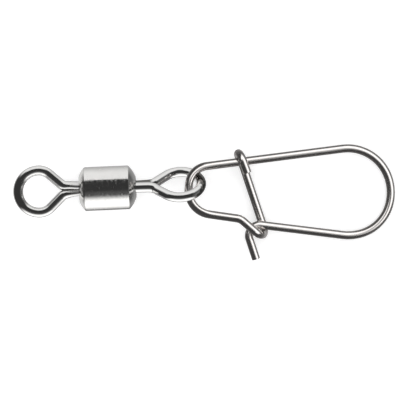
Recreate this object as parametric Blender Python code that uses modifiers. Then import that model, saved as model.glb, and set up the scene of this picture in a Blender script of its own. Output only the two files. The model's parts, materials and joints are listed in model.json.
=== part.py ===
"""Fishing snap swivel: a rolling barrel swivel with two wire eyes, and a bent-wire snap linked through one of them.

Lengths are metres and +Z is up. The swivel's axis lies along X, with the line eye at the low end and the snap at the
high end. Everything lies as it comes to rest on a flat surface at Z = 0.
"""

import math

import bmesh
import bpy
from mathutils import Quaternion, Vector

MM = 0.001
DEG = math.pi / 180

# Barrel: a tube whose two ends are swaged down to cones.
BARREL_DIAMETER = 5.46 * MM
BARREL_LENGTH = 7.1 * MM
BARREL_WALL = 0.5 * MM
CONE_ANGLE = 57.5 * DEG
LINE_CONE_LENGTH = 0.72 * MM
SNAP_CONE_LENGTH = 0.885 * MM
SHOULDER_ROUND = 0.3 * MM
LIP_ROUND = 0.12 * MM

# Eyes: each is one wire, a ring with two legs that run side by side into the barrel and end in a head.
EYE_WIRE = 1.25 * MM
EYE_RADIUS = 2.625 * MM
EYE_SHOULDER_RADIUS = 1.94 * MM
EYE_SLOPE = 43 * DEG
EYE_NECK_BEND = 1.1 * MM
LEG_SPACING = 0.8 * MM
EYE_LENGTH = 6.58 * MM
HEAD_DIAMETER = 3.7 * MM
HEAD_RIM = 0.25 * MM
HEAD_BACK = 0.3 * MM
SHANK_CLEARANCE = 0.1 * MM
SEAT_CLEARANCE = 0.1 * MM
LINE_EYE_PUSHED_IN = 0.66 * MM
RING_ABOVE_SURFACE = 0.01 * MM

# Snap: one wire, drawn in its own plane with its small end at the origin and its big end toward +X.
SNAP_WIRE = 1.0 * MM
SNAP_LENGTH = 25.4 * MM
BIG_END_RADIUS = 5.44 * MM
UPPER_LEG_RISE = 8.43 * DEG
GATE_LEG_FALL = 5.9 * DEG
SMALL_END_DROP = 2.81 * MM
LOWER_LEG_FALL = 6.93 * DEG
SMALL_END_UPPER_BEND = 2.5 * MM
SMALL_END_LOWER_BEND = 3.0 * MM
WIRE_GAP = 0.1 * MM

# Snap's catch: a diagonal, a turn under the gate leg, an arm behind it and a hook round the upper leg.
DIAGONAL_START = 6.48 * MM
DIAGONAL_BEND = 1.5 * MM
TURN_FROM_CROOK = 2.39 * MM
TURN_BELOW_GATE = 1.25 * MM
TURN_WIDTH = 0.96 * MM
HOOK_ALONG_LEG = 6.57 * MM
HOOK_ABOVE_LEG = 1.44 * MM
HOOK_SIDE_STEP = 0.26 * MM
HOOK_FRONT_DROP = 0.24 * MM
HOOK_END_LENGTH = 2.45 * MM
HOOK_END_LEAN = 23.5 * DEG

# Gate: the leg that springs inward, with a crook and a tail for the finger.
CROOK_ALONG_GATE = 7.12 * MM
CROOK_BEND = 1.35 * MM
TAIL_LEAN = 19.5 * DEG
TAIL_LENGTH = 4.61 * MM
GATE_OPENING = 20 * DEG

# How the snap lies in the eye. It swings about the eye's wire, on a line a little outside the wire's centre.
LINK_PLAY = 0.55 * MM
LINK_PIVOT_STEP = 0.35 * MM
SNAP_SIDE_STEP = -0.52 * MM
SNAP_YAW = -4.0 * DEG
SNAP_ROLL = 2.0 * DEG

# Facets.
BARREL_SIDES = 64
EYE_SIDES = 16
SNAP_SIDES = 14
ARC_STEP = 9 * DEG
ROUND_STEP = 22.5 * DEG

# Sizes that follow from the ones above.
BARREL_RADIUS = BARREL_DIAMETER / 2
AXIS_HEIGHT = BARREL_RADIUS * math.cos(math.pi / BARREL_SIDES)
HOLE_RADIUS = LEG_SPACING / 2 + EYE_WIRE / 2 + SHANK_CLEARANCE
LAYER = SNAP_WIRE + WIRE_GAP
TURN_ALONG_GATE = CROOK_ALONG_GATE + TURN_FROM_CROOK
GATE_GAP = SNAP_WIRE * math.tan(GATE_OPENING / 2) + WIRE_GAP / 3


def clear_scene():
    for thing in list(bpy.data.objects):
        bpy.data.objects.remove(thing, do_unlink=True)


def plated(name, colour, roughness):
    material = bpy.data.materials.new(name)
    material.use_nodes = True
    shader = material.node_tree.nodes["Principled BSDF"]
    shader.inputs["Base Color"].default_value = (*colour, 1.0)
    shader.inputs["Metallic"].default_value = 1.0
    shader.inputs["Roughness"].default_value = roughness
    return material


def add_object(name, data, collection, material=None):
    thing = bpy.data.objects.new(name, data)
    collection.objects.link(thing)
    if material:
        data.materials.append(material)
    return thing


def add_empty(name, collection, parent, location):
    empty = add_object(name, None, collection)
    empty.empty_display_size = 2 * MM
    empty.parent = parent
    empty.location = location
    return empty


def arc(centre, radius, start, end, step=ARC_STEP):
    """Points of an arc in the XY plane, from one angle to another."""
    count = max(1, math.ceil(abs(end - start) / step))
    angles = [start + (end - start) * i / count for i in range(count + 1)]
    return [Vector(centre) + radius * Vector((math.cos(a), math.sin(a), 0)) for a in angles]


def bend(before, corner, after, radius, step):
    """Points of the arc that rounds a corner between two straight runs."""
    back = (before - corner).normalized()
    ahead = (after - corner).normalized()
    turn = math.pi - back.angle(ahead)
    start = corner + back * radius * math.tan(turn / 2)
    centre = corner + (back + ahead).normalized() * radius / math.cos(turn / 2)
    axis = (-back).cross(ahead).normalized()
    count = max(1, math.ceil(turn / step))
    return [centre + Quaternion(axis, turn * i / count) @ (start - centre) for i in range(count + 1)]


def bent_path(corners, step=ARC_STEP):
    """Points along a wire whose corners, each a point and a bend radius, are rounded. The two ends have no bend."""
    points = [corners[0][0]]
    for (before, _), (corner, radius), (after, _) in zip(corners, corners[1:], corners[2:]):
        points += bend(before, corner, after, radius, step)
    return points + [corners[-1][0]]


def wire_curve(name, points, diameter, sides):
    """A round wire along points, with its ends closed."""
    curve = bpy.data.curves.new(name, "CURVE")
    curve.dimensions = "3D"
    curve.bevel_depth = diameter / 2
    curve.bevel_resolution = sides // 2 - 2
    curve.use_fill_caps = True
    spline = curve.splines.new("POLY")
    spline.points.add(len(points) - 1)
    for place, point in zip(spline.points, points):
        place.co = (*point, 1.0)
    return curve


def add_turned(name, profile, closed, sides, collection, material=None):
    """A shape turned about its local Z from a profile of (radius, height) points."""
    mesh = bpy.data.meshes.new(name)
    outline = bmesh.new()
    rim = [outline.verts.new((radius, 0, height)) for radius, height in profile]
    for one, other in zip(rim, rim[1:]):
        outline.edges.new((one, other))
    if closed:
        outline.edges.new((rim[-1], rim[0]))
    outline.to_mesh(mesh)
    outline.free()
    turned = add_object(name, mesh, collection, material)
    screw = turned.modifiers.new("turn", "SCREW")
    screw.axis = "Z"
    screw.steps = sides
    screw.render_steps = sides
    screw.use_merge_vertices = True
    screw.merge_threshold = 1e-7
    screw.use_normal_calculate = True
    return turned


def cone_seat(cone_length, radius):
    """How far inside the barrel's end face the inner cone has a radius."""
    slope = math.tan(CONE_ANGLE)
    inner_at_shoulder = BARREL_RADIUS - BARREL_WALL / math.cos(CONE_ANGLE)
    return cone_length - (inner_at_shoulder - radius) / slope


def barrel_profile():
    """The barrel's section as (radius, height) points, from the line end at -Z to the snap end at +Z."""
    half = BARREL_LENGTH / 2
    slope = math.tan(CONE_ANGLE)
    bore = BARREL_RADIUS - BARREL_WALL
    outside = [
        (HOLE_RADIUS, half, 0),
        (BARREL_RADIUS - SNAP_CONE_LENGTH * slope, half, LIP_ROUND),
        (BARREL_RADIUS, half - SNAP_CONE_LENGTH, SHOULDER_ROUND),
        (BARREL_RADIUS, LINE_CONE_LENGTH - half, SHOULDER_ROUND),
        (BARREL_RADIUS - LINE_CONE_LENGTH * slope, -half, LIP_ROUND),
        (HOLE_RADIUS, -half, 0),
    ]
    inside = [
        (HOLE_RADIUS, cone_seat(LINE_CONE_LENGTH, HOLE_RADIUS) - half),
        (bore, cone_seat(LINE_CONE_LENGTH, bore) - half),
        (bore, half - cone_seat(SNAP_CONE_LENGTH, bore)),
        (HOLE_RADIUS, half - cone_seat(SNAP_CONE_LENGTH, HOLE_RADIUS)),
    ]
    corners = [(Vector((radius, height, 0)), bend_radius) for radius, height, bend_radius in outside]
    rounded = [(point.x, point.y) for point in bent_path(corners, ROUND_STEP)]
    return rounded + inside


def add_barrel(collection, material, swivel):
    barrel = add_turned("barrel", barrel_profile(), True, BARREL_SIDES, collection, material)
    barrel.parent = swivel
    barrel.rotation_euler = (math.pi / BARREL_SIDES, math.pi / 2, 0)
    barrel.rotation_mode = "ZYX"
    return barrel


def eye_half_path():
    """The centre line of half an eye, in its ring's plane, from just past the ring's tip to the head.

    The ring is half a circle that draws in over a tighter shoulder and a straight slope to the neck.
    """
    ring = arc((0, 0, 0), EYE_RADIUS, -ARC_STEP / 2, math.pi / 2)
    shoulder = (0, EYE_RADIUS - EYE_SHOULDER_RADIUS, 0)
    ring += arc(shoulder, EYE_SHOULDER_RADIUS, math.pi / 2, math.pi / 2 + EYE_SLOPE)[1:]
    leg = LEG_SPACING / 2
    run = (ring[-1].y - leg) / math.sin(EYE_SLOPE)
    neck = ring[-1] + run * Vector((-math.cos(EYE_SLOPE), -math.sin(EYE_SLOPE), 0))
    end = Vector((-EYE_LENGTH, leg, 0))
    return ring + bend(ring[-1], neck, end, EYE_NECK_BEND, ARC_STEP) + [end]


def head_profile():
    """The head's section as (radius, height) points, from the cone's tip in the shank to the flat back."""
    radius = HEAD_DIAMETER / 2
    return [
        (0, radius / math.tan(CONE_ANGLE)),
        (radius, 0),
        (radius, -HEAD_RIM),
        (radius - HEAD_BACK, -HEAD_RIM - HEAD_BACK),
        (0, -HEAD_RIM - HEAD_BACK),
    ]


def add_eye(name, collection, tools, material, swivel):
    """An eye with its ring's centre at its origin and its shank and head toward -X."""
    half = add_object(f"{name}_half", wire_curve(name, eye_half_path(), EYE_WIRE, EYE_SIDES), tools)
    bpy.context.view_layer.update()
    mesh = bpy.data.meshes.new_from_object(half.evaluated_get(bpy.context.evaluated_depsgraph_get()))
    bpy.data.objects.remove(half)
    joined = bmesh.new()
    joined.from_mesh(mesh)
    bmesh.ops.remove_doubles(joined, verts=joined.verts, dist=1e-7)
    joined.to_mesh(mesh)
    joined.free()
    eye = add_object(name, mesh, collection, material)
    eye.parent = swivel
    mirror = eye.modifiers.new("other_half", "MIRROR")
    mirror.use_axis = (False, True, False)
    mirror.use_bisect_axis = (False, True, False)
    mirror.bisect_threshold = 1e-7
    mirror.merge_threshold = 1e-7
    head = add_turned(f"{name}_head", head_profile(), False, 2 * EYE_SIDES, tools)
    head.rotation_euler = (0, math.pi / 2, 0)
    head.location = (-EYE_LENGTH, 0, 0)
    head.parent = eye
    head.display_type = "WIRE"
    head.hide_render = True
    union = eye.modifiers.new("head", "BOOLEAN")
    union.operation = "UNION"
    union.solver = "EXACT"
    union.object = head
    return eye


def eye_reach(cone_length):
    """How far an eye's ring centre lies from the barrel's middle when its head is on its seat."""
    rim = cone_seat(cone_length, HEAD_DIAMETER / 2) + SEAT_CLEARANCE / math.sin(CONE_ANGLE)
    return BARREL_LENGTH / 2 - rim + EYE_LENGTH


def snap_eye_lean():
    """The snap eye has turned until its lower strand all but rests on the surface."""
    drop = AXIS_HEIGHT - EYE_WIRE / 2 - RING_ABOVE_SURFACE
    return math.asin(min(1.0, drop / EYE_RADIUS))


def big_end_centre():
    return Vector((SNAP_LENGTH - BIG_END_RADIUS, 0, 0))


def upper_leg_at(x):
    """A point of the upper leg's line, which runs tangent to the big end."""
    centre = big_end_centre()
    y = BIG_END_RADIUS / math.cos(UPPER_LEG_RISE) + (x - centre.x) * math.tan(UPPER_LEG_RISE)
    return Vector((x, y, 0))


def gate_leg_at(x):
    """A point of the gate leg's line, which runs tangent to the big end on its lower side."""
    centre = big_end_centre()
    y = -BIG_END_RADIUS / math.cos(GATE_LEG_FALL) - (x - centre.x) * math.tan(GATE_LEG_FALL)
    return Vector((x, y, 0))


def leaning_down(lean):
    """A direction that points down in the snap's plane and leans toward the big end."""
    return Vector((math.sin(lean), -math.cos(lean), 0))


def frame_path():
    """The snap's wire from the hook's cut end, round the small end, to the middle of the big end."""
    front = Vector((0, 0, LAYER))
    hook_crossing = upper_leg_at(HOOK_ALONG_LEG)
    gate_crossing = gate_leg_at(TURN_ALONG_GATE)
    down_arm = (gate_crossing - hook_crossing).normalized()
    hook_top = hook_crossing - HOOK_ABOVE_LEG * down_arm
    hook_front = hook_top + Vector((HOOK_SIDE_STEP, -HOOK_FRONT_DROP, 0)) + front
    hook_end = hook_front + HOOK_END_LENGTH * leaning_down(HOOK_END_LEAN)
    turn_bottom = gate_crossing + TURN_BELOW_GATE * down_arm
    diagonal_drop = SMALL_END_DROP + DIAGONAL_START * math.tan(LOWER_LEG_FALL)
    corners = [
        (hook_end, 0),
        (hook_front, LAYER),
        (hook_top - front, LAYER),
        (turn_bottom - front, LAYER),
        (turn_bottom + front - Vector((TURN_WIDTH, 0, 0)), LAYER),
        (Vector((DIAGONAL_START, -diagonal_drop, 0)) + front, DIAGONAL_BEND),
        (Vector((0, -SMALL_END_DROP, 0)), SMALL_END_LOWER_BEND),
        (upper_leg_at(0), SMALL_END_UPPER_BEND),
    ]
    half_gap = GATE_GAP / 2 / BIG_END_RADIUS
    big_end = arc(big_end_centre(), BIG_END_RADIUS, math.pi / 2 + UPPER_LEG_RISE, half_gap)
    return bent_path(corners + [(big_end[0], 0)]) + big_end[1:]


def gate_path():
    """The snap's wire from the middle of the big end, along the gate leg, to the tail's cut end."""
    half_gap = GATE_GAP / 2 / BIG_END_RADIUS
    big_end = arc(big_end_centre(), BIG_END_RADIUS, -half_gap, -math.pi / 2 - GATE_LEG_FALL)
    crook = gate_leg_at(CROOK_ALONG_GATE)
    tail = crook + TAIL_LENGTH * leaning_down(TAIL_LEAN)
    return big_end + bend(big_end[-1], crook, tail, CROOK_BEND, ARC_STEP) + [tail]


def snap_lie():
    """The pitch at which the rolled snap lies on its big end and on the low end of its arm, and its big end's height.

    The big end's centre stands big_end_radius * hypot(sin(pitch), sin(roll)) above the wire's lowest point.
    """
    radius = BIG_END_RADIUS
    arm_end = gate_leg_at(TURN_ALONG_GATE)
    lean = math.sin(SNAP_ROLL)
    drop = LAYER * math.cos(SNAP_ROLL) - arm_end.y * lean
    reach = big_end_centre().x - arm_end.x - LAYER / 4
    square = reach**2 - radius**2
    root = math.sqrt((reach * drop) ** 2 - square * (drop**2 - (radius * lean) ** 2))
    pitch = math.asin((reach * drop - root) / square)
    height = SNAP_WIRE / 2 + radius * math.hypot(math.sin(pitch), lean)
    return pitch, height


def add_snap(collection, material, link_pivot):
    pitch, big_end_height = snap_lie()
    link_reach = (EYE_WIRE + SNAP_WIRE) / 2 + LINK_PLAY + LINK_PIVOT_STEP
    small_end_height = big_end_height + big_end_centre().x * math.sin(pitch)
    frame_curve = wire_curve("snap_frame", frame_path(), SNAP_WIRE, SNAP_SIDES)
    frame = add_object("snap_frame", frame_curve, collection, material)
    frame.parent = link_pivot
    frame.location = (-link_reach, SNAP_SIDE_STEP, small_end_height - AXIS_HEIGHT)
    frame.rotation_euler = (SNAP_ROLL, pitch, SNAP_YAW)
    hinge = Vector((SNAP_LENGTH, 0, 0))
    gate_hinge = add_empty("gate_hinge", collection, frame, hinge)
    from_hinge = [point - hinge for point in gate_path()]
    gate_curve = wire_curve("snap_gate", from_hinge, SNAP_WIRE, SNAP_SIDES)
    gate = add_object("snap_gate", gate_curve, collection, material.copy())
    gate.parent = gate_hinge
    return frame, gate


def centre_on_origin(root, pieces):
    """Move everything so that the box round the pieces is centred over the origin."""
    bpy.context.view_layer.update()
    depsgraph = bpy.context.evaluated_depsgraph_get()
    places = []
    for piece in pieces:
        shape = piece.evaluated_get(depsgraph)
        mesh = shape.to_mesh()
        places += [shape.matrix_world @ vertex.co for vertex in mesh.vertices]
        shape.to_mesh_clear()
    for axis in (0, 1):
        low = min(place[axis] for place in places)
        high = max(place[axis] for place in places)
        root.location[axis] -= (low + high) / 2


def main():
    clear_scene()
    parts = bpy.data.collections.new("fishing_snap_swivel")
    tools = bpy.data.collections.new("cutters")
    bpy.context.scene.collection.children.link(parts)
    bpy.context.scene.collection.children.link(tools)
    tools.hide_render = True
    root = add_empty("snap_swivel", parts, None, (0, 0, 0))
    swivel = add_empty("swivel_axis", parts, root, (0, 0, AXIS_HEIGHT))
    barrel = add_barrel(parts, plated("barrel_nickel", (0.78, 0.77, 0.75), 0.2), swivel)
    line_eye = add_eye("line_eye", parts, tools, plated("line_eye_nickel", (0.72, 0.71, 0.69), 0.12), swivel)
    line_eye.location.x = LINE_EYE_PUSHED_IN - eye_reach(LINE_CONE_LENGTH)
    line_eye.rotation_euler = (0, 0, math.pi)
    snap_eye = add_eye("snap_eye", parts, tools, plated("snap_eye_nickel", (0.72, 0.71, 0.69), 0.12), swivel)
    snap_eye.location.x = eye_reach(SNAP_CONE_LENGTH)
    snap_eye.rotation_euler = (-snap_eye_lean(), 0, 0)
    pivot = (snap_eye.location.x + EYE_RADIUS + LINK_PIVOT_STEP, 0, 0)
    link_pivot = add_empty("snap_link_pivot", parts, swivel, pivot)
    frame, gate = add_snap(parts, plated("snap_nickel", (0.6, 0.57, 0.53), 0.15), link_pivot)
    centre_on_origin(root, [barrel, line_eye, snap_eye, frame, gate])


main()
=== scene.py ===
import json
import math

import bmesh
import bpy
from mathutils import Euler, Matrix, Quaternion, Vector


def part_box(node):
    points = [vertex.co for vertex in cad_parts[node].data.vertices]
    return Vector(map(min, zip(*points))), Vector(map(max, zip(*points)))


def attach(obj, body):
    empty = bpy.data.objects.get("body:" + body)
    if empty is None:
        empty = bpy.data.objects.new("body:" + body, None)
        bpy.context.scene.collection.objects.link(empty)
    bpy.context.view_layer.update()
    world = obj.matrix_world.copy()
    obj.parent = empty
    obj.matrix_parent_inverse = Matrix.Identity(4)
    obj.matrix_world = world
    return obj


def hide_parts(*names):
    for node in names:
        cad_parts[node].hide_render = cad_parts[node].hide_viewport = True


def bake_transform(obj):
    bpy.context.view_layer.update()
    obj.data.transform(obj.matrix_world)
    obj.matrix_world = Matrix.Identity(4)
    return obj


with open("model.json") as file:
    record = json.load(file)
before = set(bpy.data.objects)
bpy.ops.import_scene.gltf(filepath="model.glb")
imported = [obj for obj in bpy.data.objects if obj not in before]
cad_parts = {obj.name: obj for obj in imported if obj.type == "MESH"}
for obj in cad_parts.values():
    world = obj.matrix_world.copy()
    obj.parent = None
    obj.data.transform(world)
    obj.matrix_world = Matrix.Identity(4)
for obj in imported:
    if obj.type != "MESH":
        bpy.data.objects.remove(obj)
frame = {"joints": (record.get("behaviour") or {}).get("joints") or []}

MM = 0.001
DEG = math.pi / 180
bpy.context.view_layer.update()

# The barrel, a tube swaged down to a cone at each end.
BARREL_RADIUS = 2.73 * MM
BARREL_LENGTH = 7.1 * MM
BARREL_WALL = 0.5 * MM
BARREL_HOLE = 1.16 * MM
CONE_ANGLE = 57.5 * DEG
LINE_CONE_LENGTH = 0.72 * MM
SNAP_CONE_LENGTH = 0.885 * MM
SHOULDER_ROUND = 0.3 * MM
LIP_ROUND = 0.12 * MM
CONE_FULLNESS = 0.11 * MM
CONE_ROUND = 3.0 * MM

# The two eyes, each one wire with a head inside the barrel.
EYE_WIRE = 1.25 * MM
EYE_RADIUS = 2.625 * MM
LINE_SHOULDER_RADIUS = 1.94 * MM
SNAP_SHOULDER_RADIUS = 2.5 * MM
EYE_SLOPE = 43 * DEG
EYE_NECK_BEND = 1.1 * MM
NECK_SPACING = 1.05 * MM
LEG_SPACING = 0.82 * MM
LEGS_MEET = 4.95 * MM
EYE_LENGTH = 6.58 * MM
HEAD_RADIUS = 1.85 * MM
HEAD_RIM = 0.25 * MM
HEAD_BACK = 0.3 * MM

# How an eye's legs are pressed together: how far from the ring's centre it starts and is complete, how far
# the pair is then twisted, how wide and how tall each leg is left, and how far the pair lies to one side.
LINE_LEGS = {
    "start": 2.8 * MM,
    "end": 4.7 * MM,
    "twist": -20 * DEG,
    "width": 1.0 * MM,
    "height": 1.6 * MM,
    "lift": 0.12 * MM,
}
SNAP_LEGS = {
    "start": 2.7 * MM,
    "end": 4.0 * MM,
    "twist": -18 * DEG,
    "width": 1.24 * MM,
    "height": 1.28 * MM,
    "lift": 0.02 * MM,
}

# How each piece of the swivel has worked to one side within its running clearance, and lies on the table.
BARREL_SITS = (-0.03 * MM, 0.02 * MM, 0)
BARREL_YAW = -0.5 * DEG
LINE_EYE_SITS = (0.03 * MM, 0.04 * MM, 0)
SNAP_EYE_SITS = (-0.08 * MM, 0.02 * MM, 0)
RING_ABOVE_SURFACE = 0.01 * MM

# The snap, one wire drawn in its own plane from its small end at the origin to its big end toward +X.
SNAP_WIRE = 1.035 * MM
SNAP_LENGTH = 25.4 * MM
BIG_END_RADIUS = 5.44 * MM
BIG_END_BULGE = 0.12 * MM
BIG_END_BULGE_AT = -42 * DEG
BIG_END_BULGE_REACH = 58 * DEG
UPPER_LEG_RISE = 8.43 * DEG
GATE_LEG_FALL = 5.9 * DEG
LOWER_LEG_FALL = 6.93 * DEG

# The snap's small end. Its wear is a share of the wire, and sets in between two distances from the origin.
SMALL_END_DROP = 2.81 * MM
SMALL_END_UPPER_BEND = 2.5 * MM
SMALL_END_LOWER_BEND = 3.0 * MM
SMALL_END_LEAN = 0.17 * MM
SMALL_END_WEAR = 0.2
SMALL_END_WEAR_STARTS = 3.2 * MM
SMALL_END_WEAR_FULL = 1.2 * MM

# The snap's catch. Its wire lies one layer in front of the legs or one behind them.
LAYER = 1.1 * MM
DIAGONAL_START = 6.48 * MM
DIAGONAL_BEND = 1.5 * MM
TURN_FROM_CROOK = 2.45 * MM
TURN_BELOW_GATE = 1.24 * MM
TURN_WIDTH = 1.08 * MM
ARM_TOP_BEND = 3.0 * MM
HOOK_ALONG_LEG = 6.66 * MM
HOOK_ABOVE_LEG = 1.3 * MM
HOOK_BEND_BELOW_LEG = 0.6 * MM
HOOK_BACK_STEP = 0.33 * MM
HOOK_SIDE_STEP = 0.455 * MM
HOOK_FRONT_DROP = 0.38 * MM
HOOK_END_LENGTH = 2.42 * MM
HOOK_END_LEAN = 21.5 * DEG
CROOK_ALONG_GATE = 7.06 * MM
CROOK_BEND = 1.35 * MM
TAIL_LEAN = 19.5 * DEG
TAIL_LENGTH = 4.8 * MM
TURN_ALONG_GATE = CROOK_ALONG_GATE + TURN_FROM_CROOK

# A cut end's rounded edge, and where points are set back from the end for it, in shares of the edge.
CUT_EDGE = 0.07 * MM
CUT_EDGE_POINTS = (1.15, 1.0, 0.6, 0.33, 0.15, 0.04)
CUT_EDGE_CLEAR = 1.3 * CUT_EDGE

# How the snap lies: linked a little beside the eye's tip, turned, and tipped onto its big end and its arm,
# whose low end touches the table a little nearer to the big end than it crosses the gate leg.
LINK_REACH = 2.025 * MM
SNAP_SIDE_STEP = -0.56 * MM
SNAP_YAW = -4.0 * DEG
SNAP_ROLL = 2.0 * DEG
ARM_TOUCH_STEP = LAYER / 4

# How finely bends and round sections are drawn.
BEND_STEP = 3 * DEG
LONGEST_RUN = 0.35 * MM
SHORTEST_RUN = 0.0001 * MM
MERGE_DISTANCE = 0.00001 * MM
WIRE_SIDES = 48
BARREL_SIDES = 160
HEAD_SIDES = 64
CREASE = 30 * DEG

# Colours of the metals: plain, and at the darkest and lightest of their clouds.
BARREL_NICKEL = (0.8, 0.795, 0.78)
BARREL_NICKEL_DARK = (0.75, 0.74, 0.72)
BARREL_NICKEL_LIGHT = (0.86, 0.855, 0.845)
EYE_NICKEL = (0.8, 0.795, 0.785)
LINE_EYE_DARK = (0.74, 0.735, 0.72)
LINE_EYE_LIGHT = (0.84, 0.835, 0.825)
# The snap eye's plain colour, and the near black of the shade painted round its tip and in its shank's far
# groove.
SNAP_EYE_PAINTED_SHADE = (0.15, 0.148, 0.14)
SNAP_EYE_UNSHADED = (0.79, 0.785, 0.775)
SPRING_NICKEL = (0.77, 0.75, 0.72)
SPRING_NICKEL_DARK = (0.69, 0.655, 0.635)
SPRING_NICKEL_LIGHT = (0.82, 0.795, 0.78)

# Marks on the eyes. A pair is where a mark starts and where it is complete, from the ring's centre or, for
# the painted shade round the snap eye's tip, from the inner side of the ring's tip.
LINE_LEGS_DULLED = (3.3 * MM, 4.4 * MM)
LINE_LEGS_DULLNESS = 0.24
UPPER_SIDE_PAINTED_SHADE = (0, 0.26 * MM)
OUTER_SIDE_PAINTED_SHADE = (0.25 * MM, 0.55 * MM)
# The painted shade's ragged edge at the tip: how far noise moves it, and how much it slants across the ring.
SHADE_EDGE_SMEAR = 0.8 * MM
SHADE_EDGE_SLANT = 0.5
# Painted shade in the snap eye shank's far groove, where the two pressed legs meet: below, behind and along
# the shank.
GROOVE_SHADE_BELOW = (0.3 * MM, 0.1 * MM)
GROOVE_SHADE_BEHIND = (0.4 * MM, 0.55 * MM)
GROOVE_SHADE_ALONG_SHANK = (-3.4 * MM, -3.9 * MM)

# What the swivel reflects. Each line is where a light starts to change and where it has changed, and what
# it is before and after. Angles are from straight up, and the rest are shares of the way aside or up.
SWIVEL_PANELS_AZIMUTH = 90 * DEG
UPPER_PANEL_EDGE = (44 * DEG, 48 * DEG, 0.0, 0.92)
UPPER_PANEL_FADE = (78 * DEG, 162 * DEG, 1.0, 0.45)
LOWER_PANEL_EDGE = (33 * DEG, 73 * DEG, 0.0, 1.3)
LOWER_PANEL_FADE = (102 * DEG, 157 * DEG, 1.0, 0.06)
SHELF_EDGE = (8 * DEG, 26 * DEG, 0.0, 0.05)
PANELS_REACH = (0.55, 0.85, 0.0, 1.0)
END_WALL = (0.65, 0.95, 0.04, 0.15)
SWIVEL_TABLE_ALONG = (-0.7, 0.8, 0.32, 0.8)
SWIVEL_TABLE_DOWN = (-0.1, -0.8, 0.0, 1.0)

# What the snap reflects, in the same way.
SOFT_PANEL_AZIMUTH = 45 * DEG
SOFT_PANEL_LIGHT = 1.6
SOFT_PANEL_NEAR_EDGE = (-8 * DEG, 34 * DEG, 0.0, 1.0)
SOFT_PANEL_FAR_EDGE = (45 * DEG, 88 * DEG, 1.0, 0.0)
SOFT_PANEL_UPPER_SIDE = (0.75, 0.46, 0.0, 1.0)
SOFT_PANEL_LOWER_SIDE = (-0.88, -0.67, 0.0, 1.0)
LOW_CORNER_SIDE = (-0.2, -0.45, 0.0, 1.0)
LOW_CORNER_EDGE = (-16 * DEG, 12 * DEG, 0.0, 1.0)
END_CORNER_SIDE = (0.1, 0.4, 0.0, 1.0)
END_CORNER_EDGE = (-28 * DEG, 2 * DEG, 0.0, 1.0)
SNAP_TABLE_ACROSS = (-0.8, 0.6, 0.05, 0.14)
SNAP_TABLE_DOWN = (0.4, -0.5, 0.0, 1.0)
SNAP_UNDERSIDE = (-0.45, -0.85, 0.06, 0.3)

# The studio, in metres where it is a size.
WHITE = (1.0, 1.0, 1.0, 1.0)
PAPER = (0.93, 0.93, 0.93, 1.0)
PAPER_GLOW = 0.36
FLOOR_RADIUS = 3.0
FLOOR_SIDES = 96
SWIVEL_DOME_RADIUS = 2.2
SNAP_DOME_RADIUS = 2.5
DOME_SEGMENTS = 64
DOME_RINGS = 32

# The photograph's frame.
VIEW_WIDTH = 50 * MM
VIEW_CENTRE = (-0.585 * MM, 0.69 * MM, 1.6 * MM)
VIEW_ROLL = -2.9 * DEG
LENS = 250
NEAREST_SEEN = 0.01
FARTHEST_SEEN = 20

# The least that anything is divided by, which keeps a division off zero.
LEAST_EDGE = 1e-6 * MM
LEAST_LEVEL = 1e-4


# Paths.


def arc(centre, radius, start, end):
    """Points of an arc in the XY plane, from one angle to another."""
    count = max(2, math.ceil(abs(end - start) / BEND_STEP))
    angles = [start + (end - start) * i / count for i in range(count + 1)]
    return [Vector(centre) + radius * Vector((math.cos(a), math.sin(a), 0)) for a in angles]


def bend(before, corner, after, radius):
    """Points of the arc that rounds a corner between two straight runs."""
    back = (before - corner).normalized()
    ahead = (after - corner).normalized()
    turn = math.pi - back.angle(ahead)
    start = corner + back * radius * math.tan(turn / 2)
    centre = corner + (back + ahead).normalized() * radius / math.cos(turn / 2)
    axis = (-back).cross(ahead).normalized()
    count = max(2, math.ceil(turn / BEND_STEP))
    return [centre + Quaternion(axis, turn * i / count) @ (start - centre) for i in range(count + 1)]


def bent_path(corners):
    """Points along a wire whose corners, each a point and a bend radius, are rounded. Its ends have none."""
    points = [corners[0][0]]
    for (before, _), (corner, radius), (after, _) in zip(corners, corners[1:], corners[2:]):
        points += bend(before, corner, after, radius)
    return points + [corners[-1][0]]


def close_set(points):
    """The same path with points added along its straight runs, and none of them doubled."""
    result = [points[0]]
    for point in points[1:]:
        start = result[-1]
        step = point - start
        if step.length < SHORTEST_RUN:
            continue
        count = math.ceil(step.length / LONGEST_RUN)
        result += [start + step * i / count for i in range(1, count + 1)]
    return result


def with_cut_end(points):
    """The same path with points set close over its last bit, so that the cut's edge can be rounded."""
    end = points[-1]
    back = (points[-2] - end).normalized()
    kept = [p for p in points if (p - end).length > CUT_EDGE_CLEAR]
    return kept + [end + back * CUT_EDGE * share for share in CUT_EDGE_POINTS] + [end]


def ease(value, start, end):
    """Climbs smoothly from 0 at the start to 1 at the end, and is level before and past them."""
    share = min(1.0, max(0.0, (value - start) / (end - start)))
    return share * share * (3 - 2 * share)


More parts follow.
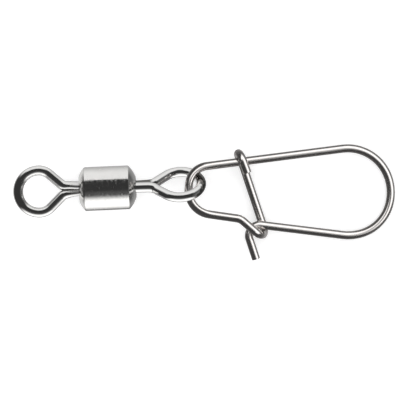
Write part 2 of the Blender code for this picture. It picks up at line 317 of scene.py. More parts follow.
def eye_path(shoulder_radius, legs):
    """The whole wire of an eye in its ring's plane, from one leg's head end round the ring to the other's.

    The ring is half a circle that draws in over a tighter shoulder and a straight slope to the neck. From
    there the two legs are twisted a little round each other.
    """
    shoulder = Vector((0, EYE_RADIUS - shoulder_radius, 0))
    ring = arc((0, 0, 0), EYE_RADIUS, 0, math.pi / 2)
    ring += arc(shoulder, shoulder_radius, math.pi / 2, math.pi / 2 + EYE_SLOPE)[1:]
    run = (ring[-1].y - NECK_SPACING / 2) / math.sin(EYE_SLOPE)
    neck = ring[-1] + run * Vector((-math.cos(EYE_SLOPE), -math.sin(EYE_SLOPE), 0))
    meeting = Vector((-LEGS_MEET, LEG_SPACING / 2, 0))
    end = Vector((-EYE_LENGTH, LEG_SPACING / 2, 0))
    upper = ring + bend(ring[-1], neck, meeting, EYE_NECK_BEND) + [meeting, end]
    lower = [Vector((p.x, -p.y, 0)) for p in reversed(upper)]
    return [legs_twist(p, legs) @ p for p in close_set(lower + upper)]


def pressed(point, legs):
    """How far the legs are pressed together and twisted at a point of an eye, from 0 to 1."""
    return ease(-point.x, legs["start"], legs["end"])


def legs_twist(point, legs):
    """The turn about the eye's own line that the twist of its legs gives to a point."""
    return Quaternion((1, 0, 0), legs["twist"] * pressed(point, legs))


def press_legs(wire, place, legs):
    """Presses the legs taller than they are wide, and sets the pair to one side of the barrel's hole."""
    back = place.inverted()
    for vertex in wire.data.vertices:
        spot = back @ vertex.co
        share = pressed(spot, legs)
        twist = legs_twist(spot, legs)
        spot = twist.inverted() @ spot
        spot.z *= 1 + (legs["height"] / legs["width"] - 1) * share
        vertex.co = place @ (twist @ spot) + Vector((0, legs["lift"] * share, 0))


def wear_small_end(wire, place):
    """Where the small end hangs in the eye its inner side is worn down, so its top leans inward."""
    back = place.inverted()
    section = wire.data.attributes["section"].data
    for vertex, spot_in_section in zip(wire.data.vertices, section):
        spot = back @ vertex.co
        worn = ease(spot.x, SMALL_END_WEAR_STARTS, SMALL_END_WEAR_FULL)
        if spot.z > 0 and worn > 0:
            spot.z *= 1 - SMALL_END_WEAR * worn * spot_in_section.vector.x / (SNAP_WIRE / 2)
            vertex.co = place @ spot


def big_end_centre():
    return Vector((SNAP_LENGTH - BIG_END_RADIUS, 0, 0))


def upper_corner():
    """Where the big end begins, at the end of the upper leg."""
    outward = Vector((-math.sin(UPPER_LEG_RISE), math.cos(UPPER_LEG_RISE), 0))
    return big_end_centre() + BIG_END_RADIUS * outward


def upper_leg_at(x):
    """The point of the upper leg's line that is a distance from the small end."""
    y = BIG_END_RADIUS / math.cos(UPPER_LEG_RISE) + (x - big_end_centre().x) * math.tan(UPPER_LEG_RISE)
    return Vector((x, y, 0))


def gate_leg_at(x):
    """The point of the gate leg's line that is a distance from the small end."""
    y = -BIG_END_RADIUS / math.cos(GATE_LEG_FALL) - (x - big_end_centre().x) * math.tan(GATE_LEG_FALL)
    return Vector((x, y, 0))


def leaning_down(lean):
    """The direction that points down across the snap, leaning toward the big end."""
    return Vector((math.sin(lean), -math.cos(lean), 0))


def frame_path():
    """The snap's wire from its big end's upper corner back round the small end to the hook's cut end."""
    front = Vector((0, 0, LAYER))
    hook_crossing = upper_leg_at(HOOK_ALONG_LEG)
    gate_crossing = gate_leg_at(TURN_ALONG_GATE)
    down_arm = (gate_crossing - hook_crossing).normalized()
    arm_top = hook_crossing + HOOK_BEND_BELOW_LEG * down_arm
    hook_top = hook_crossing - HOOK_ABOVE_LEG * down_arm - Vector((HOOK_BACK_STEP, 0, 0))
    hook_front = hook_top + Vector((HOOK_SIDE_STEP, -HOOK_FRONT_DROP, 0)) + front
    hook_end = hook_front + HOOK_END_LENGTH * leaning_down(HOOK_END_LEAN)
    turn_bottom = gate_crossing + TURN_BELOW_GATE * down_arm
    diagonal_drop = SMALL_END_DROP + DIAGONAL_START * math.tan(LOWER_LEG_FALL)
    corners = [
        (upper_corner(), 0),
        (upper_leg_at(SMALL_END_LEAN), SMALL_END_UPPER_BEND),
        (Vector((-SMALL_END_LEAN, -SMALL_END_DROP, 0)), SMALL_END_LOWER_BEND),
        (Vector((DIAGONAL_START, -diagonal_drop, 0)) + front, DIAGONAL_BEND),
        (turn_bottom + front - Vector((TURN_WIDTH, 0, 0)), LAYER),
        (turn_bottom - front, LAYER),
        (arm_top - front, ARM_TOP_BEND),
        (hook_top - front, LAYER),
        (hook_front, LAYER),
        (hook_end, 0),
    ]
    return with_cut_end(close_set(bent_path(corners)))


def big_end_bulge(offset):
    """How far the big end stands out of round toward the gate leg."""
    turn = min(1.0, abs(math.atan2(offset.y, offset.x) - BIG_END_BULGE_AT) / BIG_END_BULGE_REACH)
    return BIG_END_BULGE * math.cos(turn * math.pi / 2) ** 2


def gate_path():
    """The snap's wire from its big end's upper corner, round it and along the gate leg to the tail's end."""
    centre = big_end_centre()
    big_end = arc(centre, BIG_END_RADIUS, math.pi / 2 + UPPER_LEG_RISE, -math.pi / 2 - GATE_LEG_FALL)
    big_end = [p + (p - centre).normalized() * big_end_bulge(p - centre) for p in big_end]
    crook = gate_leg_at(CROOK_ALONG_GATE)
    tail = crook + TAIL_LENGTH * leaning_down(TAIL_LEAN)
    return with_cut_end(close_set(big_end + bend(big_end[-1], crook, tail, CROOK_BEND) + [tail]))


def snap_lie():
    """The rolled snap's pitch as it lies on its big end and its arm's low end, and its big end's height."""
    arm_end = gate_leg_at(TURN_ALONG_GATE)
    lean = math.sin(SNAP_ROLL)
    drop = LAYER * math.cos(SNAP_ROLL) - arm_end.y * lean
    reach = big_end_centre().x - arm_end.x - ARM_TOUCH_STEP
    square = reach**2 - BIG_END_RADIUS**2
    root = math.sqrt((reach * drop) ** 2 - square * (drop**2 - (BIG_END_RADIUS * lean) ** 2))
    pitch = math.asin((reach * drop - root) / square)
    height = SNAP_WIRE / 2 + BIG_END_RADIUS * math.hypot(math.sin(pitch), lean)
    return pitch, height


# Places.


def place_at(point, angles):
    """The place of a piece that is turned about X, Y and Z, in that order, and then moved to a point."""
    return Matrix.Translation(point) @ Euler(angles).to_matrix().to_4x4()


def hinge_point(name):
    return Vector(next(j["pos_m"] for j in frame["joints"] if j["name"] == name))


def barrel_place():
    low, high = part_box("barrel")
    return place_at((low + high) / 2 + Vector(BARREL_SITS), (0, math.pi / 2, BARREL_YAW))


def line_eye_place():
    return place_at(hinge_point("line_eye_spin") + Vector(LINE_EYE_SITS), (0, 0, math.pi))


def snap_eye_place():
    """The snap eye leans over until the low edge of its ring all but touches the table."""
    centre = hinge_point("snap_eye_spin")
    lean = math.asin((centre.z - EYE_WIRE / 2 - RING_ABOVE_SURFACE) / EYE_RADIUS)
    return place_at(centre + Vector(SNAP_EYE_SITS), (-lean, 0, 0))


def snap_place():
    pivot = hinge_point("snap_link")
    pitch, big_end_height = snap_lie()
    height = big_end_height + big_end_centre().x * math.sin(pitch)
    return place_at((pivot.x - LINK_REACH, pivot.y + SNAP_SIDE_STEP, height), (SNAP_ROLL, pitch, SNAP_YAW))


# Steps of a node tree. A value is a number or another node's socket.


def add_node(tree, kind, inputs=None, **settings):
    """A node with its settings made and then its inputs set or linked."""
    node = tree.nodes.new(kind)
    for name, value in settings.items():
        setattr(node, name, value)
    for key, value in (inputs or {}).items():
        socket = node.inputs[key]
        if isinstance(value, bpy.types.NodeSocket):
            tree.links.new(value, socket)
        else:
            socket.default_value = value
    return node


def calc(tree, operation, one, other=0.0, clamp=False):
    node = add_node(tree, "ShaderNodeMath", {0: one, 1: other}, operation=operation, use_clamp=clamp)
    return node.outputs[0]


def minus(tree, one, other):
    return calc(tree, "SUBTRACT", one, other)


def plus(tree, first, *others):
    for other in others:
        first = calc(tree, "ADD", first, other)
    return first


def times(tree, first, *others):
    for other in others:
        first = calc(tree, "MULTIPLY", first, other)
    return first


def remap(tree, value, start, end, low, high, interpolation):
    """Goes from low to high as a value goes from start to end, and is level before and past them."""
    node = add_node(
        tree,
        "ShaderNodeMapRange",
        {"Value": value, "From Min": start, "From Max": end, "To Min": low, "To Max": high},
        interpolation_type=interpolation,
        clamp=True,
    )
    return node.outputs["Result"]


def smooth_step(tree, value, start, end, low=0.0, high=1.0):
    return remap(tree, value, start, end, low, high, "SMOOTHSTEP")


def spread(tree, noise, low, high, start=0.3, end=0.7):
    """Draws noise out to a range, from the values that most of it lies between."""
    return remap(tree, noise, start, end, low, high, "LINEAR")


# Wires and turned shapes.


def keep_on_points(tree, geometry, name, value, kind):
    """Stores a value on each point, for the finish to read."""
    kept = add_node(
        tree,
        "GeometryNodeStoreNamedAttribute",
        {"Geometry": geometry, "Name": name, "Value": value},
        data_type=kind,
        domain="POINT",
    )
    return kept.outputs["Geometry"]


def wire_thickness(tree, given, radius, along):
    """The wire's thickness along its curve, as a share of the whole, rounded off over Cut Edge at the end."""
    total = tree.nodes.new("GeometryNodeSplineLength").outputs["Length"]
    edge = calc(tree, "MAXIMUM", given["Cut Edge"], LEAST_EDGE)
    depth = calc(tree, "DIVIDE", minus(tree, total, along), edge, clamp=True)
    short = minus(tree, 1.0, depth)
    swell = calc(tree, "SQRT", minus(tree, 1.0, times(tree, short, short)))
    loss = times(tree, calc(tree, "DIVIDE", given["Cut Edge"], radius), minus(tree, 1.0, swell))
    pressed_share = tree.nodes.new("GeometryNodeInputRadius").outputs["Radius"]
    return times(tree, minus(tree, 1.0, loss), pressed_share)


def wire_tree():
    """Draws a round wire along a curve. Its cut end is rounded over Cut Edge, where that is above 0.

    Its faces are shaded flat. There are enough of them that each is narrower than a pixel of the photograph.
    """
    tree = bpy.data.node_groups.new("bent_wire", "GeometryNodeTree")
    inputs = {
        "Path": "Geometry",
        "Wire Diameter": "Float",
        "Cut Edge": "Float",
        "Sides": "Int",
        "Finish": "Material",
    }
    for name, kind in inputs.items():
        tree.interface.new_socket(name, in_out="INPUT", socket_type="NodeSocket" + kind)
    tree.interface.new_socket("Wire", in_out="OUTPUT", socket_type="NodeSocketGeometry")
    given = tree.nodes.new("NodeGroupInput").outputs
    radius = calc(tree, "DIVIDE", given["Wire Diameter"], 2.0)
    along = tree.nodes.new("GeometryNodeSplineParameter").outputs["Length"]
    circle = add_node(
        tree,
        "GeometryNodeCurvePrimitiveCircle",
        {"Resolution": given["Sides"], "Radius": radius},
        mode="RADIUS",
    )
    spot = tree.nodes.new("GeometryNodeInputPosition").outputs["Position"]
    path = keep_on_points(tree, given["Path"], "along", along, "FLOAT")
    section = keep_on_points(tree, circle.outputs["Curve"], "section", spot, "FLOAT_VECTOR")
    scale = wire_thickness(tree, given, radius, along)
    tube = add_node(
        tree,
        "GeometryNodeCurveToMesh",
        {"Curve": path, "Profile Curve": section, "Scale": scale, "Fill Caps": True},
    )
    shaded = add_node(
        tree,
        "GeometryNodeSetShadeSmooth",
        {"Geometry": tube.outputs["Mesh"], "Shade Smooth": False},
        domain="FACE",
    )
    whole = add_node(tree, "GeometryNodeRealizeInstances", {"Geometry": shaded.outputs["Geometry"]})
    finished = add_node(
        tree, "GeometryNodeSetMaterial", {"Geometry": whole.outputs["Geometry"], "Material": given["Finish"]}
    )
    add_node(tree, "NodeGroupOutput", {"Wire": finished.outputs["Geometry"]})
    return tree


def plain_mesh(thing):
    """The evaluated shape of an object, as a mesh with nothing left to work out."""
    bpy.context.view_layer.update()
    return bpy.data.meshes.new_from_object(thing.evaluated_get(bpy.context.evaluated_depsgraph_get()))


def add_piece(name, mesh, place):
    """An object at the origin, whose mesh holds its place."""
    mesh.name = name
    mesh.transform(place)
    piece = bpy.data.objects.new(name, mesh)
    bpy.context.scene.collection.objects.link(piece)
    return piece


def bent_wire(name, points, diameter, finish, place, cut_edge=0.0, shares=None):
    """A finished wire: the tree runs along its path, and the result is kept as a plain mesh in its place.

    The shares, one for each point, say how thick the wire is there.
    """
    curve = bpy.data.curves.new(name, "CURVE")
    curve.dimensions = "3D"
    spline = curve.splines.new("POLY")
    spline.points.add(len(points) - 1)
    for spot, point, share in zip(spline.points, points, shares or [1.0] * len(points)):
        spot.co = (*point, 1.0)
        spot.radius = share
    guide = bpy.data.objects.new(name + "_path", curve)
    bpy.context.scene.collection.objects.link(guide)
    modifier = guide.modifiers.new("bent_wire", "NODES")
    modifier.node_group = WIRE_TREE
    values = {"Wire Diameter": diameter, "Cut Edge": cut_edge, "Sides": WIRE_SIDES, "Finish": finish}
    for item in WIRE_TREE.interface.items_tree:
        if item.in_out == "INPUT" and item.name in values:
            modifier[item.identifier] = values[item.name]
    mesh = plain_mesh(guide)
    guide.modifiers.remove(modifier)
    bpy.data.objects.remove(guide)
    piece = add_piece(name, mesh, place)
    point_outward(piece)
    return piece


def point_outward(piece):
    """Merges doubled points and makes every face point outward."""
    shape = bmesh.new()
    shape.from_mesh(piece.data)
    bmesh.ops.remove_doubles(shape, verts=shape.verts, dist=MERGE_DISTANCE)
    bmesh.ops.recalc_face_normals(shape, faces=shape.faces)
    shape.to_mesh(piece.data)
    shape.free()


def turned(name, profile, closed, sides, finish, place):
    """A shape turned about its own Z from a profile of (radius, height) points, closed for a hollow one."""
    shape = bmesh.new()
    angles = [2 * math.pi * i / sides for i in range(sides)]
    rings = []
    for radius, height in profile:
        if radius == 0:
            rings.append([shape.verts.new((0, 0, height))] * sides)
            continue
        rings.append([shape.verts.new((radius * math.cos(a), radius * math.sin(a), height)) for a in angles])
    pairs = list(zip(rings, rings[1:])) + ([(rings[-1], rings[0])] if closed else [])
    for one, other in pairs:
        for i in range(sides):
            j = (i + 1) % sides
            corners = dict.fromkeys((one[i], one[j], other[j], other[i]))
            shape.faces.new(list(corners))
    bmesh.ops.recalc_face_normals(shape, faces=shape.faces)
    for face in shape.faces:
        face.smooth = True
    mesh = bpy.data.meshes.new(name)
    shape.to_mesh(mesh)
    shape.free()
    mesh.set_sharp_from_angle(angle=CREASE)
    mesh.materials.append(finish)
    return add_piece(name, mesh, place)


# Finishes.


def new_finish(name, colour, roughness):
    """A metal material and the parts of it that its marks are wired to."""
    finish = bpy.data.materials.new(name)
    finish.use_nodes = True
    tree = finish.node_tree
    shader = tree.nodes["Principled BSDF"]
    shader.inputs["Base Color"].default_value = (*colour, 1.0)
    shader.inputs["Metallic"].default_value = 1.0
    shader.inputs["Roughness"].default_value = roughness
    return finish, tree, shader


def pattern(tree, where, per_metre, detail=2.0, rough=0.5):
    """Smooth noise over a place, with so many waves a metre along each axis."""
    mapping = add_node(tree, "ShaderNodeMapping", {"Vector": where, "Scale": per_metre}, vector_type="POINT")
    noise = add_node(
        tree,
        "ShaderNodeTexNoise",
        {"Vector": mapping.outputs[0], "Scale": 1.0, "Detail": detail, "Roughness": rough},
        noise_dimensions="3D",
    )
    return noise.outputs["Fac"]


def tint(tree, shader, share, dark, light):
    """Colours a metal between two colours, by a share from 0 to 1."""
    mix = add_node(tree, "ShaderNodeMix", {0: share}, data_type="RGBA")
    colours = [s for s in mix.inputs if s.type == "RGBA"]
    colours[0].default_value = (*dark, 1.0)
    colours[1].default_value = (*light, 1.0)
    result = next(s for s in mix.outputs if s.type == "RGBA")
    tree.links.new(result, shader.inputs["Base Color"])


def raise_marks(tree, shader, heights):
    """Marks in the surface, each a height pattern and its depth."""
    normal = None
    for height, depth in heights:
        inputs = {"Height": height, "Distance": depth, "Strength": 1.0}
        if normal:
            inputs["Normal"] = normal
        normal = add_node(tree, "ShaderNodeBump", inputs).outputs["Normal"]
    tree.links.new(normal, shader.inputs["Normal"])


def barrel_plating():
    """Bright nickel over a tube polished as it turned: fine rings round it, ripples, haze and clouds."""
    finish, tree, shader = new_finish("barrel_nickel", BARREL_NICKEL, roughness=0.09)
    where = tree.nodes.new("ShaderNodeTexCoord").outputs["Object"]
    ripple = pattern(tree, where, per_metre=(4500, 1800, 1800))
    rings = pattern(tree, where, per_metre=(26000, 300, 300), detail=3.0)
    haze = pattern(tree, where, per_metre=(4200, 1300, 1300), detail=3.0, rough=0.55)
    cloud = pattern(tree, where, per_metre=(700, 700, 700), detail=4.0, rough=0.6)
    raise_marks(tree, shader, [(ripple, 0.011 * MM), (rings, 0.001 * MM)])
    fine = spread(tree, rings, low=0.06, high=0.12)
    dull = spread(tree, haze, low=0.0, high=0.22, start=0.42, end=0.75)
    tree.links.new(plus(tree, fine, dull), shader.inputs["Roughness"])
    tint(tree, shader, cloud, BARREL_NICKEL_DARK, BARREL_NICKEL_LIGHT)
    return finish


def wire_coordinates(tree, stretch):
    """A place that runs with a wire: the spot in its section, and the length along it times a stretch."""
    section = add_node(tree, "ShaderNodeAttribute", attribute_name="section", attribute_type="GEOMETRY")
    along = add_node(tree, "ShaderNodeAttribute", attribute_name="along", attribute_type="GEOMETRY")
    across = add_node(tree, "ShaderNodeSeparateXYZ", {"Vector": section.outputs["Vector"]}).outputs
    length = times(tree, along.outputs["Fac"], stretch)
    joined = add_node(tree, "ShaderNodeCombineXYZ", {"X": across[0], "Y": across[1], "Z": length})
    return joined.outputs[0]


def eye_wire_finish(name):
    """Bright nickel over polished wire, with fine drawn lines along it and soft ripples from bending."""
    finish, tree, shader = new_finish(name, EYE_NICKEL, roughness=0.08)
    where = tree.nodes.new("ShaderNodeTexCoord").outputs["Object"]
    drawn = pattern(tree, wire_coordinates(tree, stretch=0.05), per_metre=(9000, 9000, 9000), detail=3.0)
    ripple = pattern(tree, where, per_metre=(1500, 1500, 1500))
    raise_marks(tree, shader, [(ripple, 0.004 * MM), (drawn, 0.0004 * MM)])
    polish = spread(tree, drawn, low=0.06, high=0.13)
    tree.links.new(polish, shader.inputs["Roughness"])
    return finish, tree, shader, where, ripple, polish


def mark_from(tree, value, origin, span, low=0.0, high=1.0):
    """Goes from low to high over a span that is measured from an origin."""
    return smooth_step(tree, value, origin + span[0], origin + span[1], low, high)


def line_eye_plating():
    """The line eye's wire, dulled by the tool that pressed its legs together."""
    finish, tree, shader, where, ripple, polish = eye_wire_finish("line_eye_nickel")
    x = add_node(tree, "ShaderNodeSeparateXYZ", {"Vector": where}).outputs["X"]
    dull = mark_from(tree, x, hinge_point("line_eye_spin").x, LINE_LEGS_DULLED, high=LINE_LEGS_DULLNESS)
    tree.links.new(plus(tree, polish, dull), shader.inputs["Roughness"])
    tint(tree, shader, ripple, LINE_EYE_DARK, LINE_EYE_LIGHT)
    return finish


def snap_eye_plating():
    """The snap eye's wire, with painted shade round its tip, where the snap's wire lies against it, and in
    its shank's far groove.
    """
    finish, tree, shader, where, _, _ = eye_wire_finish("snap_eye_nickel")
    x, y, z = add_node(tree, "ShaderNodeSeparateXYZ", {"Vector": where}).outputs
    centre = hinge_point("snap_eye_spin")
    tip = hinge_point("snap_link").x - EYE_WIRE / 2
    # Painted shade: the tip is darkened where the snap's wire lies against it, with a ragged edge.
    shade_edge_noise = minus(tree, pattern(tree, where, per_metre=(2600, 2600, 2600), detail=3.0), 0.5)
    ragged_x = plus(tree, x, times(tree, shade_edge_noise, SHADE_EDGE_SMEAR))
    slant = times(tree, minus(tree, y, centre.y), SHADE_EDGE_SLANT)
    upper_unshaded = mark_from(tree, plus(tree, ragged_x, slant), tip, UPPER_SIDE_PAINTED_SHADE, low=1.0, high=0.0)
    outer_unshaded = mark_from(tree, minus(tree, ragged_x, slant), tip, OUTER_SIDE_PAINTED_SHADE, low=1.0, high=0.0)
    # Painted shade: a dark line in the shank's far groove, between the pressed legs.
    below = mark_from(tree, z, centre.z, GROOVE_SHADE_BELOW)
    behind = mark_from(tree, y, centre.y, GROOVE_SHADE_BEHIND)
    shank = mark_from(tree, x, centre.x, GROOVE_SHADE_ALONG_SHANK)
    groove_shade = times(tree, below, behind, shank)
    unshaded = times(tree, upper_unshaded, outer_unshaded, minus(tree, 1.0, groove_shade))
    tint(tree, shader, unshaded, SNAP_EYE_PAINTED_SHADE, SNAP_EYE_UNSHADED)
    return finish


def spring_wire_plating(name):
    """Nickel over hard drawn spring wire: warmer than the eyes, with plain drawn lines along it."""
    finish, tree, shader = new_finish(name, SPRING_NICKEL, roughness=0.16)
    where = tree.nodes.new("ShaderNodeTexCoord").outputs["Object"]
    along = wire_coordinates(tree, stretch=0.03)
    drawn = pattern(tree, along, per_metre=(12000, 12000, 12000), detail=4.0, rough=0.6)
    ripple = pattern(tree, where, per_metre=(1300, 1300, 1300))
    raise_marks(tree, shader, [(ripple, 0.003 * MM), (drawn, 0.0016 * MM)])
    tree.links.new(spread(tree, drawn, low=0.1, high=0.22), shader.inputs["Roughness"])
    tint(tree, shader, drawn, SPRING_NICKEL_DARK, SPRING_NICKEL_LIGHT)
    return finish


# The pieces.


def cone_corners(length):
    """One swaged end from its hole outward: each corner's radius, depth from the end face and bend radius."""
    slope = math.tan(CONE_ANGLE)
    fuller = CONE_FULLNESS * math.cos(CONE_ANGLE)
    higher = CONE_FULLNESS * math.sin(CONE_ANGLE)
    return [
        (BARREL_HOLE, 0, 0),
        (BARREL_RADIUS - length * slope, 0, LIP_ROUND),
        (BARREL_RADIUS - length * slope / 2 + fuller, length / 2 - higher, CONE_ROUND),
        (BARREL_RADIUS, length, SHOULDER_ROUND),
    ]


def cone_seat(cone_length, radius):
    """How far inside the barrel's end face the inner cone has a radius."""
    inner_at_shoulder = BARREL_RADIUS - BARREL_WALL / math.cos(CONE_ANGLE)
    return cone_length - (inner_at_shoulder - radius) / math.tan(CONE_ANGLE)


def barrel_profile():
    """The barrel's wall, its outside from the snap's end to the line's and its inside back again."""
    half = BARREL_LENGTH / 2
    bore = BARREL_RADIUS - BARREL_WALL
    snap_end = cone_corners(SNAP_CONE_LENGTH)
    line_end = reversed(cone_corners(LINE_CONE_LENGTH))
    outside = [(radius, half - depth, bent) for radius, depth, bent in snap_end]
    outside += [(radius, depth - half, bent) for radius, depth, bent in line_end]
    inside = [
        (BARREL_HOLE, cone_seat(LINE_CONE_LENGTH, BARREL_HOLE) - half),
        (bore, cone_seat(LINE_CONE_LENGTH, bore) - half),
        (bore, half - cone_seat(SNAP_CONE_LENGTH, bore)),
        (BARREL_HOLE, half - cone_seat(SNAP_CONE_LENGTH, BARREL_HOLE)),
    ]
    corners = [(Vector((radius, height, 0)), bent) for radius, height, bent in outside]
    return [(p.x, p.y) for p in close_set(bent_path(corners))] + inside


def make_barrel():
    barrel = turned("barrel_shell", barrel_profile(), True, BARREL_SIDES, barrel_plating(), barrel_place())
    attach(barrel, "barrel")
    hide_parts("barrel")
    return barrel


def head_profile():
    """The upset head, a cone with a short rim, from its point to the middle of its back."""
    return [
        (0, HEAD_RADIUS / math.tan(CONE_ANGLE)),
        (HEAD_RADIUS, 0),
        (HEAD_RADIUS, -HEAD_RIM),
        (HEAD_RADIUS - HEAD_BACK, -HEAD_RIM - HEAD_BACK),
        (0, -HEAD_RIM - HEAD_BACK),
    ]


def make_eye(node, finish, place, shoulder_radius, legs):
    """An eye's wire and, inside the barrel, the head that holds it."""
    path = eye_path(shoulder_radius, legs)
    shares = [1 - (1 - legs["width"] / EYE_WIRE) * pressed(p, legs) for p in path]
    wire = bent_wire(node + "_wire", path, EYE_WIRE, finish, place, shares=shares)
    press_legs(wire, place, legs)
    head_place = place @ place_at((-EYE_LENGTH, 0, 0), (0, math.pi / 2, 0))
    head = turned(node + "_head", head_profile(), False, HEAD_SIDES, finish, head_place)
    for piece in (wire, head):
        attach(piece, node)
    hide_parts(node)
    return wire, head


def snap_wire(name, path, place):
    """A length of the snap's wire, in its finish and with its cut end rounded."""
    return bent_wire(name, path, SNAP_WIRE, spring_wire_plating(name + "_nickel"), place, CUT_EDGE)


def make_snap(place):
    """The snap's one wire in two lengths. They meet at its upper corner, where neither moves on the other."""
    frame_wire = snap_wire("snap_frame_wire", frame_path(), place)
    wear_small_end(frame_wire, place)
    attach(frame_wire, "snap_frame")
    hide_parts("snap_frame")
    gate_wire = snap_wire("snap_gate_wire", gate_path(), place)
    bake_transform(gate_wire)
    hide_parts("snap_gate")
    return frame_wire, gate_wire


# The studio.


def clear_material(name):
    """A material whose node tree is empty."""
    material = bpy.data.materials.new(name)
    material.use_nodes = True
    material.node_tree.nodes.clear()
    return material


def glow_over(tree, surface, strength):
    """Ends a material with a surface and a white glow added to it."""
    glow = add_node(tree, "ShaderNodeEmission", {"Color": WHITE, "Strength": strength})
    both = add_node(tree, "ShaderNodeAddShader", {0: surface.outputs[0], 1: glow.outputs[0]})
    add_node(tree, "ShaderNodeOutputMaterial", {"Surface": both.outputs[0]})


def make_floor():
    """A white sheet that takes the object's shadow, and glows a little to the camera."""
    bpy.ops.mesh.primitive_circle_add(
        vertices=FLOOR_SIDES, radius=FLOOR_RADIUS, fill_type="NGON", location=(0, 0, 0)
    )
    floor = bpy.context.object
    floor.name = "floor"
    paper = clear_material("white_paper")
    tree = paper.node_tree
    seen = tree.nodes.new("ShaderNodeLightPath").outputs["Is Camera Ray"]
    sheet = add_node(tree, "ShaderNodeBsdfDiffuse", {"Color": PAPER})
    glow_over(tree, sheet, times(tree, seen, PAPER_GLOW))
    floor.data.materials.append(paper)
    floor.visible_glossy = False


def side_angle(tree, direction, azimuth):
    """A direction's angle from straight up toward an azimuth, its reach that way and aside, its height."""
    x, y, z = add_node(tree, "ShaderNodeSeparateXYZ", {"Vector": direction}).outputs
    cosine, sine = math.cos(azimuth), math.sin(azimuth)
    ahead = plus(tree, times(tree, x, cosine), times(tree, y, sine))
    aside = minus(tree, times(tree, y, cosine), times(tree, x, sine))
    return calc(tree, "ARCTAN2", ahead, z), ahead, aside, z


def long_panel(tree, angle, edge, fade):
    """A panel that begins at an edge and fades toward the table."""
    return times(tree, smooth_step(tree, angle, *edge), smooth_step(tree, angle, *fade))


def swivel_panels(tree, direction):
    """Two long panels beside the swivel, one grey and sharp-edged, one white and soft.

    A faint shelf lies between them. Past their ends it is dark, but for a dim wall beyond the snap and the
    table below, which is pale under the line end and darker under the snap end.
    """
    angle, ahead, aside, height = side_angle(tree, direction, SWIVEL_PANELS_AZIMUTH)
    back = times(tree, angle, -1.0)
    upper = long_panel(tree, angle, UPPER_PANEL_EDGE, UPPER_PANEL_FADE)
    lower = long_panel(tree, back, LOWER_PANEL_EDGE, LOWER_PANEL_FADE)
    shelf = smooth_step(tree, back, *SHELF_EDGE)
    level = calc(tree, "SQRT", calc(tree, "SUBTRACT", 1.0, times(tree, height, height), clamp=True))
    share = calc(tree, "DIVIDE", calc(tree, "ABSOLUTE", ahead), calc(tree, "MAXIMUM", level, LEAST_LEVEL))
    kept = smooth_step(tree, share, *PANELS_REACH)
    light = times(tree, plus(tree, upper, lower, shelf), kept)
    end_wall = smooth_step(tree, times(tree, aside, -1.0), *END_WALL)
    table = smooth_step(tree, aside, *SWIVEL_TABLE_ALONG)
    table = times(tree, table, smooth_step(tree, height, *SWIVEL_TABLE_DOWN), minus(tree, 1.0, kept))
    return plus(tree, light, calc(tree, "MAXIMUM", end_wall, table))


def snap_panels(tree, direction):
    """One soft panel toward the snap's upper right, with dark on the other side and a dim table below.

    Its near edge comes further over the snap at its two corners.
    """
    angle, ahead, aside, height = side_angle(tree, direction, SOFT_PANEL_AZIMUTH)
    near_edge = smooth_step(tree, angle, *SOFT_PANEL_NEAR_EDGE)
    for side, edge in ((LOW_CORNER_SIDE, LOW_CORNER_EDGE), (END_CORNER_SIDE, END_CORNER_EDGE)):
        corner = times(tree, smooth_step(tree, aside, *side), smooth_step(tree, angle, *edge))
        near_edge = calc(tree, "MAXIMUM", near_edge, corner)
    far_edge = smooth_step(tree, angle, *SOFT_PANEL_FAR_EDGE)
    upper_side = smooth_step(tree, aside, *SOFT_PANEL_UPPER_SIDE)
    lower_side = smooth_step(tree, aside, *SOFT_PANEL_LOWER_SIDE)
    light = times(tree, near_edge, far_edge, upper_side, lower_side, SOFT_PANEL_LIGHT)
    table = times(
        tree, smooth_step(tree, ahead, *SNAP_TABLE_ACROSS), smooth_step(tree, height, *SNAP_TABLE_DOWN)
    )
    return plus(tree, light, table, smooth_step(tree, height, *SNAP_UNDERSIDE))


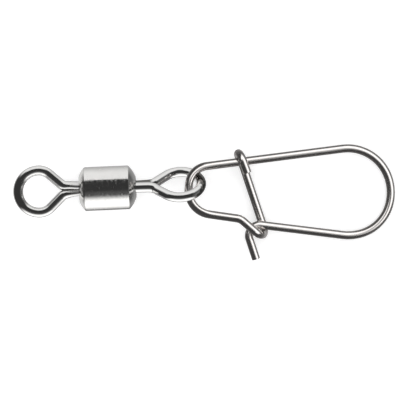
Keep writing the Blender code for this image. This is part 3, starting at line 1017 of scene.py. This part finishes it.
def make_dome(name, panels, lit, radius):
    """Panels that only polished metal shows, and only the pieces that they are set up for."""
    bpy.ops.mesh.primitive_uv_sphere_add(
        segments=DOME_SEGMENTS, ring_count=DOME_RINGS, radius=radius, location=(0, 0, 0)
    )
    dome = bpy.context.object
    dome.name = name
    material = clear_material(name)
    tree = material.node_tree
    place = tree.nodes.new("ShaderNodeTexCoord").outputs["Object"]
    direction = add_node(tree, "ShaderNodeVectorMath", {0: place}, operation="NORMALIZE").outputs[0]
    glow_over(tree, tree.nodes.new("ShaderNodeBsdfTransparent"), panels(tree, direction))
    material.cycles.emission_sampling = "NONE"
    dome.data.materials.append(material)
    dome.visible_camera = False
    dome.visible_diffuse = False
    dome.visible_transmission = False
    dome.visible_volume_scatter = False
    dome.visible_shadow = False
    group = bpy.data.collections.new(name + "_lights")
    for piece in lit:
        group.objects.link(piece)
    dome.light_linking.receiver_collection = group


def make_world():
    """Plain white air, dark only to polished metal, which the domes light."""
    world = bpy.data.worlds.new("studio")
    world.use_nodes = True
    bpy.context.scene.world = world
    tree = world.node_tree
    tree.nodes.clear()
    polished = tree.nodes.new("ShaderNodeLightPath").outputs["Is Glossy Ray"]
    air = add_node(tree, "ShaderNodeBackground", {"Color": WHITE, "Strength": minus(tree, 1.0, polished)})
    add_node(tree, "ShaderNodeOutputWorld", {"Surface": air.outputs[0]})


def make_camera():
    """Looks straight down at the part, framed as the photograph is."""
    camera = bpy.data.cameras.new("camera")
    camera.lens = LENS
    camera.clip_start = NEAREST_SEEN
    camera.clip_end = FARTHEST_SEEN
    eye = bpy.data.objects.new("camera", camera)
    bpy.context.scene.collection.objects.link(eye)
    distance = VIEW_WIDTH * LENS / camera.sensor_width
    eye.location = Vector(VIEW_CENTRE) + Vector((0, 0, distance))
    eye.rotation_euler = (0, 0, VIEW_ROLL)
    bpy.context.scene.camera = eye


WIRE_TREE = wire_tree()
swivel = [make_barrel()]
swivel += make_eye("line_eye", line_eye_plating(), line_eye_place(), LINE_SHOULDER_RADIUS, LINE_LEGS)
swivel += make_eye("snap_eye", snap_eye_plating(), snap_eye_place(), SNAP_SHOULDER_RADIUS, SNAP_LEGS)
snap = make_snap(snap_place())
make_floor()
make_dome("swivel_panels", swivel_panels, swivel, SWIVEL_DOME_RADIUS)
make_dome("snap_panels", snap_panels, snap, SNAP_DOME_RADIUS)
make_world()
make_camera()
bpy.context.scene.view_settings.view_transform = "Standard"
